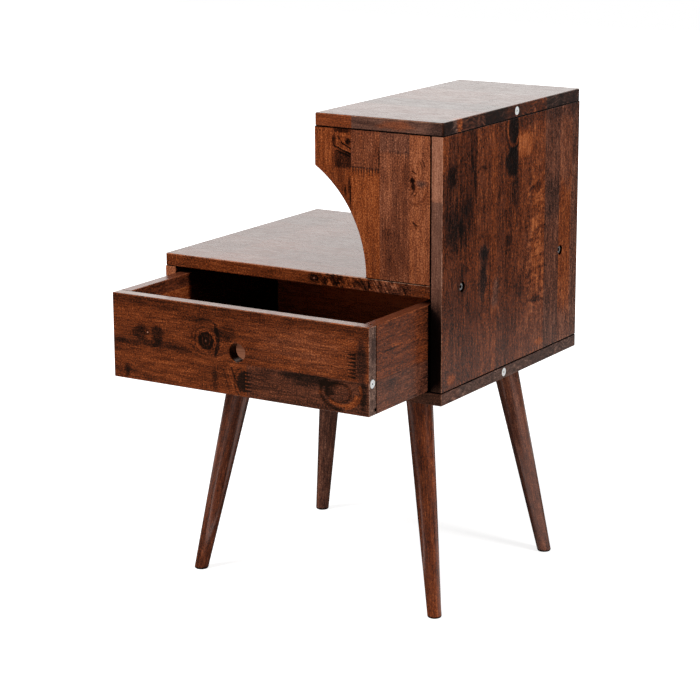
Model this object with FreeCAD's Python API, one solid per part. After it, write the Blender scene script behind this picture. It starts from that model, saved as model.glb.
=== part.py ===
import FreeCAD, Part
import math
import os

# A bedside cabinet of solid board: an open drawer bay on four splayed legs, with a narrow raised
# tower at the right-hand side. Millimetres, +Z up, +X to the right, -Y towards the person who
# opens the drawer. The origin is at floor level, midway across the width and midway between the
# face of the drawer, as it stands open, and the rear edges of the carcass.

V = FreeCAD.Vector

# Carcass
WIDTH = 455.0
DEPTH = 402.0
HEIGHT = 700.0
BOARD = 18.0
UNDERSIDE = 316.0
BAY_HEIGHT = 128.0
TOWER_WIDTH = 200.0
EASE = 1.5
ROUNDED_CORNER = 4.0

# Scooped uprights of the tower
SCOOP_RADIUS = 176.0
SCOOP_CENTRE_FROM_LEFT = 160.0

# Rear panel of the drawer bay
REAR_PANEL = 5.0
REBATE = 8.0

# Legs: where each axis meets the underside and the floor, from the carcass's own edges
LEG_TOP_IN_X = 81.5
LEG_TOP_IN_Y = 79.3
LEG_FOOT_IN_X = 28.0
LEG_FOOT_IN_Y = 33.8
LEG_TOP_RADIUS = 19.25
LEG_FOOT_RADIUS = 10.0
LEG_FOOT_ROUND = 2.5

# Drawer
DRAWER_OPEN = 152.0
DRAWER_HEIGHT = 119.5
DRAWER_SIDE_GAP = 3.0
DRAWER_LIFT = 0.5
DRAWER_STOP_GAP = 0.5
FINGER_HOLE_RADIUS = 12.5
FINGER_HOLE_ROUND = 2.0
TRAY_PANEL = 4.0
TRAY_GROOVE_DEPTH = 5.0
TRAY_GROOVE_HEIGHT = 5.0

# Fastenings
FIT = 0.05
DOWEL_RADIUS = 4.0
DOWEL_LENGTH = 30.0
DOWEL_IN_FACE = 11.0
DOWEL_END_GAP = 0.5
DOWEL_CHAMFER = 1.0
CONNECTOR_RADIUS = 3.0
CONNECTOR_REACH = 42.0
CONNECTOR_HEAD_RADIUS = 6.0
CONNECTOR_HEAD_HEIGHT = 5.0
CONNECTOR_HEAD_CHAMFER = 0.6
CONNECTOR_SOCKET_ACROSS = 5.0
CONNECTOR_SOCKET_DEPTH = 3.2
RECESS_RADIUS = 7.2
RECESS_DEPTH = 7.5
BARREL_RADIUS = 5.0
BARREL_LENGTH = 14.0
BARREL_FROM_JOINT = 33.0
HANGER_RADIUS = 4.0
HANGER_IN_LEG = 42.0
HANGER_IN_INSERT = 10.0
HANGER_TIP = 4.0
INSERT_RADIUS = 6.0
INSERT_LENGTH = 13.0
SCREW_RADIUS = 1.5
SCREW_LENGTH = 16.0
SCREW_HEAD_RADIUS = 3.0
SCREW_HEAD_HEIGHT = 1.8
SCREW_SLOT_ACROSS = 2.0
SCREW_SLOT_DEPTH = 1.0
PLUG_RADIUS = 6.0
PLUG_RING_GAP = 0.3
PLUG_SHOULDER = 1.5
PLUG_STEM_RADIUS = 5.0
PLUG_LENGTH = 6.0
PLUG_DIMPLE_RADIUS = 1.2
PLUG_DIMPLE_DEPTH = 1.5
PLUG_SINK = 0.2

# Places along the depth, from the carcass's front edges
CONNECTORS_FROM_FRONT = (55.0, DEPTH - 56.0)
DOWELS_FROM_FRONT = (95.0, 240.0, DEPTH - 95.0)
TOP_PLUG_FROM_FRONT = 207.0
BOTTOM_PLUG_FROM_FRONT = 178.0
DRAWER_PLUG_UP = 43.0
DRAWER_DOWELS_UP = (22.0, 96.0)

# Places across the width of the tower and along the rear panel, from the nearest edge
UPRIGHT_HEAD_DOWEL_IN = 35.0
UPRIGHT_FOOT_DOWELS_IN = (25.0, 70.0)
REAR_SCREW_IN_X = 60.0
REAR_SCREW_IN_Z = 36.0
TRAY_SCREW_SPREAD = 140.0

# Derived planes
LEFT = -WIDTH / 2
RIGHT = WIDTH / 2
FRONT = (DRAWER_OPEN - DEPTH) / 2
REAR = FRONT + DEPTH
BAY_FLOOR = UNDERSIDE + BOARD
BAY_CEILING = BAY_FLOOR + BAY_HEIGHT
SHELF_TOP = BAY_CEILING + BOARD
TOWER_CEILING = HEIGHT - BOARD
TOWER_LEFT = RIGHT - TOWER_WIDTH
INNER_LEFT = LEFT + BOARD
INNER_RIGHT = RIGHT - BOARD
REAR_PANEL_FACE = REAR - REAR_PANEL
MID_BOARD = BOARD / 2

DRAWER_LEFT = INNER_LEFT + DRAWER_SIDE_GAP
DRAWER_RIGHT = INNER_RIGHT - DRAWER_SIDE_GAP
DRAWER_FACE = FRONT - DRAWER_OPEN
DRAWER_REAR = REAR_PANEL_FACE - DRAWER_OPEN - DRAWER_STOP_GAP
DRAWER_BASE = BAY_FLOOR + DRAWER_LIFT
DRAWER_TOP = DRAWER_BASE + DRAWER_HEIGHT
DRAWER_FRONT_BACK = DRAWER_FACE + BOARD
TRAY_UNDERSIDE = DRAWER_BASE + TRAY_GROOVE_HEIGHT
TRAY_TOP = TRAY_UNDERSIDE + TRAY_PANEL

TINY = 1e-4


# ---- Plain shapes ----

def block(x, y, z):
    """A square-edged block between three pairs of limits."""
    return Part.makeBox(x[1] - x[0], y[1] - y[0], z[1] - z[0], V(x[0], y[0], z[0]))


def rod(start, direction, radius, length):
    """A cylinder that starts at a point and runs along a direction."""
    return Part.makeCylinder(radius, length, start, direction)


def hexagon(start, direction, across, length):
    """A hexagonal prism, across its flats, for the socket of a screw."""
    corner = across / 2 / math.cos(math.radians(30))
    points = [V(corner * math.cos(math.radians(60 * i)), corner * math.sin(math.radians(60 * i)), 0)
              for i in range(6)]
    prism = Part.Face(Part.makePolygon(points + points[:1])).extrude(V(0, 0, length))
    prism.Placement = FreeCAD.Placement(start, FreeCAD.Rotation(V(0, 0, 1), direction))
    return prism


def is_level(edge):
    return edge.BoundBox.ZLength < TINY


def is_at_corner(edge, x, y):
    """Is this an upright edge at one of the corners that the limits x and y make?"""
    box = edge.BoundBox
    upright = box.XLength < TINY and box.YLength < TINY
    on_x = min(abs(box.XMin - limit) for limit in x) < TINY
    on_y = min(abs(box.YMin - limit) for limit in y) < TINY
    return upright and on_x and on_y


def board(x, y, z, rounded_ends=()):
    """A board with eased edges. The upright corners at each x in rounded_ends are rounder."""
    solid = block(x, y, z)
    if rounded_ends:
        corners = [e for e in solid.Edges if is_at_corner(e, rounded_ends, y)]
        solid = solid.makeFillet(ROUNDED_CORNER, corners)
    sharp = [e for e in solid.Edges if is_level(e) or is_at_corner(e, x, y)]
    return solid.makeFillet(EASE, sharp)


def cut_all(solid, tools):
    """The solid with every tool's space taken out of it."""
    for tool in tools:
        solid = solid.cut(tool)
    return solid


# ---- Dowels ----

def dowel(joint, towards_face):
    """A dowel across a joint. towards_face points into the board that it enters face-on."""
    start = joint - towards_face * (DOWEL_LENGTH - DOWEL_IN_FACE)
    pin = rod(start, towards_face, DOWEL_RADIUS, DOWEL_LENGTH)
    rims = [e for e in pin.Edges if e.Length < math.tau * DOWEL_RADIUS + TINY and e.isClosed()]
    return pin.makeChamfer(DOWEL_CHAMFER, rims)


def dowel_hole(joint, towards_face):
    """The bore for a dowel through both boards, a little longer than the dowel."""
    start = joint - towards_face * (DOWEL_LENGTH - DOWEL_IN_FACE + DOWEL_END_GAP)
    return rod(start, towards_face, DOWEL_RADIUS + FIT, DOWEL_LENGTH + 2 * DOWEL_END_GAP)


class DowelRow:
    """Dowels at several points of one joint, with the bores that they sit in."""

    def __init__(self, joints, towards_face):
        self.pins = [dowel(joint, towards_face) for joint in joints]
        self.holes = [dowel_hole(joint, towards_face) for joint in joints]


# ---- Connector bolts with barrel nuts ----

class Connector:
    """A hex-socket bolt that draws a board's end against a face, and the barrel nut that it screws
    into. outer is the point where its axis leaves the outer face, inward points along the bolt into
    the other board, and nut_axis points from that board's open side into its thickness."""

    def __init__(self, outer, inward, nut_axis):
        seat = outer + inward * RECESS_DEPTH
        crown = seat - inward * CONNECTOR_HEAD_HEIGHT
        joint = outer + inward * BOARD
        head = rod(crown, inward, CONNECTOR_HEAD_RADIUS, CONNECTOR_HEAD_HEIGHT)
        socket = hexagon(crown, inward, CONNECTOR_SOCKET_ACROSS, CONNECTOR_SOCKET_DEPTH)
        shank_length = BOARD - RECESS_DEPTH + CONNECTOR_REACH
        head = head.makeChamfer(CONNECTOR_HEAD_CHAMFER, [e for e in head.Edges if self.is_outer_rim(e, seat)])
        self.bolt = head.fuse(rod(seat, inward, CONNECTOR_RADIUS, shank_length)).cut(socket)
        self.recess = rod(outer, inward, RECESS_RADIUS, RECESS_DEPTH)
        self.clearance = rod(seat, inward, CONNECTOR_RADIUS + FIT, shank_length + DOWEL_END_GAP)

        centre = joint + inward * BARREL_FROM_JOINT
        mouth = centre - nut_axis * MID_BOARD
        sink = (BOARD - BARREL_LENGTH) / 2
        barrel = rod(mouth + nut_axis * sink, nut_axis, BARREL_RADIUS, BARREL_LENGTH)
        self.nut = barrel.cut(self.clearance)
        self.nut_hole = rod(mouth, nut_axis, BARREL_RADIUS + FIT, sink + BARREL_LENGTH + FIT)

    @staticmethod
    def is_outer_rim(edge, seat):
        """Is this the rim of the head that is further from the seat?"""
        return edge.isClosed() and (edge.CenterOfMass - seat).Length > CONNECTOR_HEAD_HEIGHT / 2


# ---- Small countersunk screws ----

def screw(face, inward):
    """A countersunk wood screw with its head flush with a face."""
    head = Part.makeCone(SCREW_HEAD_RADIUS, SCREW_RADIUS, SCREW_HEAD_HEIGHT, face, inward)
    shank = rod(face, inward, SCREW_RADIUS, SCREW_LENGTH)
    socket = hexagon(face, inward, SCREW_SLOT_ACROSS, SCREW_SLOT_DEPTH)
    return head.fuse(shank).cut(socket)


def screw_hole(face, inward):
    """The countersink and pilot hole that hold one screw."""
    sink = Part.makeCone(SCREW_HEAD_RADIUS + FIT, SCREW_RADIUS + FIT, SCREW_HEAD_HEIGHT + FIT, face, inward)
    return sink.fuse(rod(face, inward, SCREW_RADIUS + FIT, SCREW_LENGTH + DOWEL_END_GAP))


# ---- Press-in edge plugs ----

def edge_plug(face):
    """A round plastic plug pressed into the right-hand end of a board, a hair below its surface."""
    inward = V(-1, 0, 0)
    start = face + inward * PLUG_SINK
    cap = rod(start, inward, PLUG_RADIUS, PLUG_SHOULDER)
    stem = rod(start, inward, PLUG_STEM_RADIUS, PLUG_LENGTH)
    return cap.fuse(stem).cut(rod(start, inward, PLUG_DIMPLE_RADIUS, PLUG_DIMPLE_DEPTH))


def edge_plug_hole(face):
    inward = V(-1, 0, 0)
    mouth = rod(face, inward, PLUG_RADIUS + PLUG_RING_GAP, PLUG_SINK + PLUG_SHOULDER + FIT)
    return mouth.fuse(rod(face, inward, PLUG_STEM_RADIUS + FIT, PLUG_SINK + PLUG_LENGTH + FIT))


# ---- Legs ----

class Leg:
    """A tapered round leg with its hanger bolt and threaded insert. side_x and side_y are -1 or 1
    and name the corner that it stands under."""

    def __init__(self, side_x, side_y):
        middle = FRONT + DEPTH / 2
        self.top = V(side_x * (RIGHT - LEG_TOP_IN_X), middle + side_y * (DEPTH / 2 - LEG_TOP_IN_Y), UNDERSIDE)
        self.foot = V(side_x * (RIGHT - LEG_FOOT_IN_X), middle + side_y * (DEPTH / 2 - LEG_FOOT_IN_Y), 0)
        run = self.top - self.foot
        self.length = run.Length
        self.up = run.normalize()
        self.bore = self.rod_about_top(HANGER_RADIUS + FIT, HANGER_IN_LEG + FIT, HANGER_IN_INSERT + FIT)
        self.socket = self.rod_about_top(INSERT_RADIUS + FIT, INSERT_LENGTH, INSERT_LENGTH + FIT)
        self.solid = self.make_leg()
        self.hanger_bolt = self.make_hanger_bolt()
        self.insert = self.make_insert()

    def rod_about_top(self, radius, below, above):
        """A rod along the leg's axis, measured below and above the point where it meets the underside."""
        return rod(self.top - self.up * below, self.up, radius, below + above)

    def make_leg(self):
        spare = LEG_TOP_RADIUS
        taper = (LEG_TOP_RADIUS - LEG_FOOT_RADIUS) / self.length
        cone = Part.makeCone(
            LEG_FOOT_RADIUS - taper * spare,
            LEG_TOP_RADIUS + taper * spare,
            self.length + 2 * spare,
            self.foot - self.up * spare,
            self.up,
        )
        slab = block((2 * LEFT, 2 * RIGHT), (FRONT - DEPTH, REAR + DEPTH), (0, UNDERSIDE))
        leg = cone.common(slab)
        foot_rim = [e for e in leg.Edges if is_level(e) and e.BoundBox.ZMax < TINY]
        return leg.makeFillet(LEG_FOOT_ROUND, foot_rim).cut(self.bore)

    def make_hanger_bolt(self):
        shank = self.rod_about_top(HANGER_RADIUS, HANGER_IN_LEG - HANGER_TIP, HANGER_IN_INSERT)
        tip_end = self.top - self.up * (HANGER_IN_LEG - HANGER_TIP)
        tip = Part.makeCone(HANGER_RADIUS, HANGER_RADIUS / 2, HANGER_TIP, tip_end, -self.up)
        return shank.fuse(tip)

    def make_insert(self):
        """A sleeve along the leg's axis, its mouth ground level with the underside."""
        above = block((2 * LEFT, 2 * RIGHT), (FRONT, REAR), (UNDERSIDE, BAY_FLOOR))
        sleeve = self.rod_about_top(INSERT_RADIUS, INSERT_LENGTH, INSERT_LENGTH).common(above)
        return sleeve.cut(self.bore)


# ---- Tower upright ----

def upright(y):
    """A board of the tower whose lower left side is scooped out by an arc that lands on the shelf."""
    centre = V(LEFT + SCOOP_CENTRE_FROM_LEFT, y[0], SHELF_TOP)
    across = TOWER_LEFT - centre.x
    rise = math.sqrt(SCOOP_RADIUS ** 2 - across ** 2)
    start = centre + V(SCOOP_RADIUS, 0, 0)
    end = centre + V(across, 0, rise)
    half_angle = math.atan2(rise, across) / 2
    halfway = centre + V(SCOOP_RADIUS * math.cos(half_angle), 0, SCOOP_RADIUS * math.sin(half_angle))
    top_left = V(TOWER_LEFT, y[0], TOWER_CEILING)
    top_right = V(INNER_RIGHT, y[0], TOWER_CEILING)
    foot_right = V(INNER_RIGHT, y[0], SHELF_TOP)
    outline = Part.Wire([
        Part.Arc(start, halfway, end).toShape(),
        Part.makeLine(end, top_left),
        Part.makeLine(top_left, top_right),
        Part.makeLine(top_right, foot_right),
        Part.makeLine(foot_right, start),
    ])
    solid = Part.Face(outline).extrude(V(0, y[1] - y[0], 0))
    return solid.makeFillet(EASE, solid.Edges)


# ---- Fastenings of the carcass ----

UP = V(0, 0, 1)
DOWN = V(0, 0, -1)
TO_LEFT = V(-1, 0, 0)
TO_RIGHT = V(1, 0, 0)
TO_FRONT = V(0, -1, 0)

UPRIGHT_MIDDLES = (FRONT + MID_BOARD, REAR - MID_BOARD)
SIDE_DOWEL_YS = [FRONT + y for y in DOWELS_FROM_FRONT]
CONNECTOR_YS = [FRONT + y for y in CONNECTORS_FROM_FRONT]
UPRIGHT_HEAD_XS = (TOWER_LEFT + UPRIGHT_HEAD_DOWEL_IN, INNER_RIGHT - UPRIGHT_HEAD_DOWEL_IN)
UPRIGHT_FOOT_XS = [INNER_RIGHT - x for x in UPRIGHT_FOOT_DOWELS_IN]

top_dowels = DowelRow(
    [V(RIGHT - MID_BOARD, y, TOWER_CEILING) for y in SIDE_DOWEL_YS]
    + [V(x, y, TOWER_CEILING) for x in UPRIGHT_HEAD_XS for y in UPRIGHT_MIDDLES], UP)
upright_foot_dowels = DowelRow(
    [V(x, y, SHELF_TOP) for x in UPRIGHT_FOOT_XS for y in UPRIGHT_MIDDLES], DOWN)
shelf_left_dowels = DowelRow([V(LEFT + MID_BOARD, y, BAY_CEILING) for y in SIDE_DOWEL_YS], UP)
shelf_right_dowels = DowelRow(
    [V(INNER_RIGHT, y, BAY_CEILING + MID_BOARD) for y in SIDE_DOWEL_YS], TO_RIGHT)
bottom_dowels = DowelRow(
    [V(x, y, BAY_FLOOR) for x in (LEFT + MID_BOARD, RIGHT - MID_BOARD) for y in SIDE_DOWEL_YS], DOWN)

shelf_connectors = [
    Connector(V(RIGHT, y, BAY_CEILING + MID_BOARD), TO_LEFT, UP) for y in CONNECTOR_YS]
left_connectors = [Connector(V(LEFT + MID_BOARD, y, UNDERSIDE), UP, TO_LEFT) for y in CONNECTOR_YS]
right_connectors = [Connector(V(RIGHT - MID_BOARD, y, UNDERSIDE), UP, TO_RIGHT) for y in CONNECTOR_YS]

legs = {
    "leg_front_left": Leg(-1, -1),
    "leg_front_right": Leg(1, -1),
    "leg_rear_left": Leg(-1, 1),
    "leg_rear_right": Leg(1, 1),
}

REAR_X = (INNER_LEFT - REBATE, INNER_RIGHT + REBATE)
REAR_Z = (BAY_FLOOR - REBATE, BAY_CEILING + REBATE)
rear_panel_seat = block(
    (REAR_X[0] - FIT, REAR_X[1] + FIT), (REAR_PANEL_FACE, REAR + BOARD), (REAR_Z[0] - FIT, REAR_Z[1] + FIT))
SCREW_EDGE = REBATE / 2
rear_screw_points = [
    V(x, REAR, z) for x in (REAR_X[0] + REAR_SCREW_IN_X, 0.0, REAR_X[1] - REAR_SCREW_IN_X)
    for z in (REAR_Z[0] + SCREW_EDGE, REAR_Z[1] - SCREW_EDGE)]
rear_screw_points += [
    V(x, REAR, z) for x in (REAR_X[0] + SCREW_EDGE, REAR_X[1] - SCREW_EDGE)
    for z in (REAR_Z[0] + REAR_SCREW_IN_Z, REAR_Z[1] - REAR_SCREW_IN_Z)]
rear_screw_holes = [screw_hole(point, TO_FRONT) for point in rear_screw_points]

TOP_PLUG = V(RIGHT, FRONT + TOP_PLUG_FROM_FRONT, HEIGHT - MID_BOARD)
BOTTOM_PLUG = V(RIGHT, FRONT + BOTTOM_PLUG_FROM_FRONT, UNDERSIDE + MID_BOARD)


# ---- Boards of the carcass ----

def bolt_spaces(connectors):
    """The recess and the bolt's own bore, in the board that the bolt head sits in."""
    return [c.recess for c in connectors] + [c.clearance for c in connectors]


def nut_spaces(connectors):
    """The bolt's bore and the cross hole, in the board that holds the barrel nut."""
    return [c.clearance for c in connectors] + [c.nut_hole for c in connectors]


def top_panel():
    solid = board((TOWER_LEFT, RIGHT), (FRONT, REAR), (TOWER_CEILING, HEIGHT), (TOWER_LEFT, RIGHT))
    return cut_all(solid, top_dowels.holes + [edge_plug_hole(TOP_PLUG)])


def side_panel_right():
    solid = board((INNER_RIGHT, RIGHT), (FRONT, REAR), (BAY_FLOOR, TOWER_CEILING))
    dowels = top_dowels.holes + shelf_right_dowels.holes + bottom_dowels.holes
    bolts = bolt_spaces(shelf_connectors) + nut_spaces(right_connectors)
    return cut_all(solid, dowels + bolts + rear_screw_holes + [rear_panel_seat])


def side_panel_left():
    solid = board((LEFT, INNER_LEFT), (FRONT, REAR), (BAY_FLOOR, BAY_CEILING))
    dowels = shelf_left_dowels.holes + bottom_dowels.holes
    return cut_all(solid, dowels + nut_spaces(left_connectors) + rear_screw_holes + [rear_panel_seat])


def shelf_panel():
    solid = board((LEFT, INNER_RIGHT), (FRONT, REAR), (BAY_CEILING, SHELF_TOP), (LEFT,))
    dowels = upright_foot_dowels.holes + shelf_left_dowels.holes + shelf_right_dowels.holes
    return cut_all(solid, dowels + nut_spaces(shelf_connectors) + rear_screw_holes + [rear_panel_seat])


def bottom_panel():
    solid = board((LEFT, RIGHT), (FRONT, REAR), (UNDERSIDE, BAY_FLOOR))
    bolts = bolt_spaces(left_connectors) + bolt_spaces(right_connectors)
    sockets = [leg.socket for leg in legs.values()]
    others = [edge_plug_hole(BOTTOM_PLUG), rear_panel_seat]
    return cut_all(solid, bottom_dowels.holes + bolts + sockets + rear_screw_holes + others)


def upright_front():
    return cut_all(upright((FRONT, FRONT + BOARD)), top_dowels.holes + upright_foot_dowels.holes)


def upright_rear():
    return cut_all(upright((REAR - BOARD, REAR)), top_dowels.holes + upright_foot_dowels.holes)


def rear_panel():
    return cut_all(block(REAR_X, (REAR_PANEL_FACE + FIT, REAR), REAR_Z), rear_screw_holes)


# ---- Drawer ----

drawer_ends = (DRAWER_LEFT + MID_BOARD, DRAWER_RIGHT - MID_BOARD)
drawer_heights = [DRAWER_BASE + up for up in DRAWER_DOWELS_UP]
drawer_front_dowels = DowelRow(
    [V(x, DRAWER_FRONT_BACK, z) for x in drawer_ends for z in drawer_heights], TO_FRONT)
drawer_back_left_dowels = DowelRow(
    [V(DRAWER_LEFT + BOARD, DRAWER_REAR - MID_BOARD, z) for z in drawer_heights], TO_LEFT)
drawer_back_right_dowels = DowelRow(
    [V(DRAWER_RIGHT - BOARD, DRAWER_REAR - MID_BOARD, z) for z in drawer_heights], TO_RIGHT)
drawer_back_holes = drawer_back_left_dowels.holes + drawer_back_right_dowels.holes

DRAWER_PLUG = V(DRAWER_RIGHT, DRAWER_FACE + MID_BOARD, DRAWER_BASE + DRAWER_PLUG_UP)
GROOVE_Z = (TRAY_UNDERSIDE - FIT, TRAY_TOP + FIT)
TRAY_SCREW_XS = (-TRAY_SCREW_SPREAD, 0.0, TRAY_SCREW_SPREAD)
tray_screw_points = [V(x, DRAWER_REAR - MID_BOARD, TRAY_UNDERSIDE) for x in TRAY_SCREW_XS]
tray_screw_holes = [screw_hole(point, UP) for point in tray_screw_points]


def drawer_front():
    """The face board: a finger hole at its centre, and a groove for the tray that runs out at both ends."""
    solid = board((DRAWER_LEFT, DRAWER_RIGHT), (DRAWER_FACE, DRAWER_FRONT_BACK), (DRAWER_BASE, DRAWER_TOP))
    centre = V(0, DRAWER_FACE, (DRAWER_BASE + DRAWER_TOP) / 2)
    solid = solid.cut(rod(centre, -TO_FRONT, FINGER_HOLE_RADIUS, BOARD))
    hole_width = 2 * FINGER_HOLE_RADIUS
    rims = [e for e in solid.Edges if e.isClosed() and abs(e.BoundBox.XLength - hole_width) < TINY]
    solid = solid.makeFillet(FINGER_HOLE_ROUND, rims)
    groove = block((LEFT, RIGHT), (DRAWER_FRONT_BACK - TRAY_GROOVE_DEPTH, DRAWER_FRONT_BACK + EASE), GROOVE_Z)
    return cut_all(solid, drawer_front_dowels.holes + [groove, edge_plug_hole(DRAWER_PLUG)])


def drawer_side(x, inner):
    """A side board between the limits x. inner is 1 if its inside faces right, or -1 if left."""
    solid = board(x, (DRAWER_FRONT_BACK, DRAWER_REAR), (DRAWER_BASE, DRAWER_TOP))
    inside_face = x[1] if inner > 0 else x[0]
    groove_x = sorted((inside_face - inner * TRAY_GROOVE_DEPTH, inside_face + inner * EASE))
    groove = block(groove_x, (DRAWER_FACE, REAR), GROOVE_Z)
    return cut_all(solid, drawer_front_dowels.holes + drawer_back_holes + [groove])


def drawer_back():
    x = (DRAWER_LEFT + BOARD, DRAWER_RIGHT - BOARD)
    solid = board(x, (DRAWER_REAR - BOARD, DRAWER_REAR), (TRAY_TOP + FIT, DRAWER_TOP))
    return cut_all(solid, drawer_back_holes + tray_screw_holes)


def drawer_tray():
    """The thin floor of the drawer: it slides into the grooves from behind, under the back board."""
    reach = TRAY_GROOVE_DEPTH - 2 * FIT
    x = (DRAWER_LEFT + BOARD - reach, DRAWER_RIGHT - BOARD + reach)
    y = (DRAWER_FRONT_BACK - reach, DRAWER_REAR)
    return cut_all(block(x, y, (TRAY_UNDERSIDE, TRAY_TOP)), tray_screw_holes)


# ---- Every node and its solids ----

shelf_bolts = [c.bolt for c in shelf_connectors]
shelf_nuts = [c.nut for c in shelf_connectors]
bottom_bolts = [c.bolt for c in left_connectors + right_connectors]
bottom_nuts = [c.nut for c in left_connectors + right_connectors]

nodes = {
    "top_panel": [top_panel()],
    "side_panel_right": [side_panel_right()],
    "side_panel_left": [side_panel_left()],
    "shelf_panel": [shelf_panel()],
    "bottom_panel": [bottom_panel()],
    "upright_front": [upright_front()],
    "upright_rear": [upright_rear()],
    "rear_panel": [rear_panel()],
    "rear_panel_screws": [screw(point, TO_FRONT) for point in rear_screw_points],
    "leg_hanger_bolts": [leg.hanger_bolt for leg in legs.values()],
    "leg_threaded_inserts": [leg.insert for leg in legs.values()],
    "shelf_bolts": shelf_bolts,
    "shelf_barrel_nuts": shelf_nuts,
    "bottom_bolts": bottom_bolts,
    "bottom_barrel_nuts": bottom_nuts,
    "top_dowels": top_dowels.pins,
    "upright_foot_dowels": upright_foot_dowels.pins,
    "shelf_left_dowels": shelf_left_dowels.pins,
    "shelf_right_dowels": shelf_right_dowels.pins,
    "bottom_dowels": bottom_dowels.pins,
    "top_edge_plug": [edge_plug(TOP_PLUG)],
    "bottom_edge_plug": [edge_plug(BOTTOM_PLUG)],
    "drawer_front": [drawer_front()],
    "drawer_side_left": [drawer_side((DRAWER_LEFT, DRAWER_LEFT + BOARD), 1)],
    "drawer_side_right": [drawer_side((DRAWER_RIGHT - BOARD, DRAWER_RIGHT), -1)],
    "drawer_back": [drawer_back()],
    "drawer_tray": [drawer_tray()],
    "drawer_front_dowels": drawer_front_dowels.pins,
    "drawer_back_dowels": drawer_back_left_dowels.pins + drawer_back_right_dowels.pins,
    "drawer_tray_screws": [screw(point, UP) for point in tray_screw_points],
    "drawer_edge_plug": [edge_plug(DRAWER_PLUG)],
}
for leg_name, leg in legs.items():
    nodes[leg_name] = [leg.solid]

os.makedirs("parts", exist_ok=True)
for name, solids in nodes.items():
    shape = solids[0] if len(solids) == 1 else Part.makeCompound(solids)
    assert shape.isValid(), name
    assert len(shape.Solids) == len(solids), name
    shape.exportStep("parts/" + name + ".step")
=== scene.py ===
import math
import random

import bpy
from mathutils import Matrix, Vector


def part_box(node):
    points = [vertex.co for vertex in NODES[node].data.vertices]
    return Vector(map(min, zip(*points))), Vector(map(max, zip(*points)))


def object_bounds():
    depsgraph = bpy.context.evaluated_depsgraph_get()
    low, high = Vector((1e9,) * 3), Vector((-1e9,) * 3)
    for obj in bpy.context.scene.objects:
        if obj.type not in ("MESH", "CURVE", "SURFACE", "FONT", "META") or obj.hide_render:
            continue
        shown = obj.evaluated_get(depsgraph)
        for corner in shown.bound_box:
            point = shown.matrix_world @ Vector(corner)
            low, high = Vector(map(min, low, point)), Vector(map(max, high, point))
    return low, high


# A bedside cabinet of stained, finger-jointed board. The CAD nodes keep their shapes, and this
# script gives them their materials. Patterns are drawn in millimetres, in the frame's own axes.

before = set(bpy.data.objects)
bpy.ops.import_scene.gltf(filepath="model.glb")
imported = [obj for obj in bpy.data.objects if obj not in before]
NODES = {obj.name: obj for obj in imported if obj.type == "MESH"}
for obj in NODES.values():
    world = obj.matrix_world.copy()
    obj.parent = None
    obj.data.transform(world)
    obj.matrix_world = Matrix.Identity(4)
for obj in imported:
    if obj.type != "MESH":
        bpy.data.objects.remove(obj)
CAD_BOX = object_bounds()
PER_METRE = 1000.0
WHITE = (1.0, 1.0, 1.0, 1.0)


# ---------------------------------------------------------------- shader arithmetic
class Val:
    """A number in a shader: plain arithmetic on it writes the nodes."""

    def __init__(self, tree, source):
        self.tree = tree
        self.source = source

    def __add__(self, other):
        return maths(self.tree, "ADD", self, other)

    def __sub__(self, other):
        return maths(self.tree, "SUBTRACT", self, other)

    def __mul__(self, other):
        return maths(self.tree, "MULTIPLY", self, other)

    def __truediv__(self, other):
        return maths(self.tree, "DIVIDE", self, other)

    def __rsub__(self, other):
        return maths(self.tree, "SUBTRACT", other, self)

    __radd__ = __add__
    __rmul__ = __mul__


def feed(tree, socket, value):
    """Gives a node's input a shader value or a plain constant."""
    if isinstance(value, Val):
        tree.links.new(value.source, socket)
    else:
        socket.default_value = value


def add(tree, kind, inputs=(), **settings):
    """A new node with its settings and inputs."""
    node = tree.nodes.new("ShaderNode" + kind)
    for key, setting in settings.items():
        setattr(node, key, setting)
    for key, value in dict(inputs).items():
        feed(tree, node.inputs[key], value)
    return node


def maths(tree, operation, *values, clamp=False):
    node = add(tree, "Math", operation=operation, use_clamp=clamp)
    for socket, value in zip(node.inputs, values):
        feed(tree, socket, value)
    return Val(tree, node.outputs[0])


def vector_maths(tree, operation, *values, output=0):
    node = add(tree, "VectorMath", operation=operation)
    for socket, value in zip(node.inputs, values):
        feed(tree, socket, value)
    return Val(tree, node.outputs[output])


def absolute(value):
    return maths(value.tree, "ABSOLUTE", value)


def clamped(value):
    return maths(value.tree, "ADD", value, 0.0, clamp=True)


def largest(first, *others):
    for other in others:
        first = maths(first.tree, "MAXIMUM", first, other)
    return first


def smallest(first, *others):
    for other in others:
        first = maths(first.tree, "MINIMUM", first, other)
    return first


def rise(value, start, end):
    """0 before start, 1 after end, smooth between them. start may be the larger."""
    inputs = {"Value": value, "From Min": start, "From Max": end}
    node = add(value.tree, "MapRange", inputs, interpolation_type="SMOOTHSTEP")
    return Val(value.tree, node.outputs["Result"])


def band(value, start, end, fade):
    """1 between start and end, with a smooth step about each that reaches fade to either side."""
    return rise(value, start - fade, start + fade) * rise(value, end + fade, end - fade)


def joined(tree, x, y, z):
    node = add(tree, "CombineXYZ", {"X": x, "Y": y, "Z": z})
    return Val(tree, node.outputs[0])


def split(value):
    node = add(value.tree, "SeparateXYZ", {"Vector": value})
    return [Val(value.tree, output) for output in node.outputs]


def noise(tree, vector, detail=2.0, roughness=0.5, w=0.0, distortion=0.0):
    """Smooth noise about 0.5, with features one unit of the vector across."""
    inputs = {
        "Vector": vector, "W": w, "Scale": 1.0, "Detail": detail,
        "Roughness": roughness, "Distortion": distortion,
    }
    node = add(tree, "TexNoise", inputs, noise_dimensions="4D")
    return Val(tree, node.outputs["Fac"])


def grain_noise(tree, point, along, across, *looks):
    """Noise on a point (u, v, w) with so many features per millimetre along and across the grain."""
    u, v, w = point
    return noise(tree, joined(tree, u * along, v * across, w * across), *looks)


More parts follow.
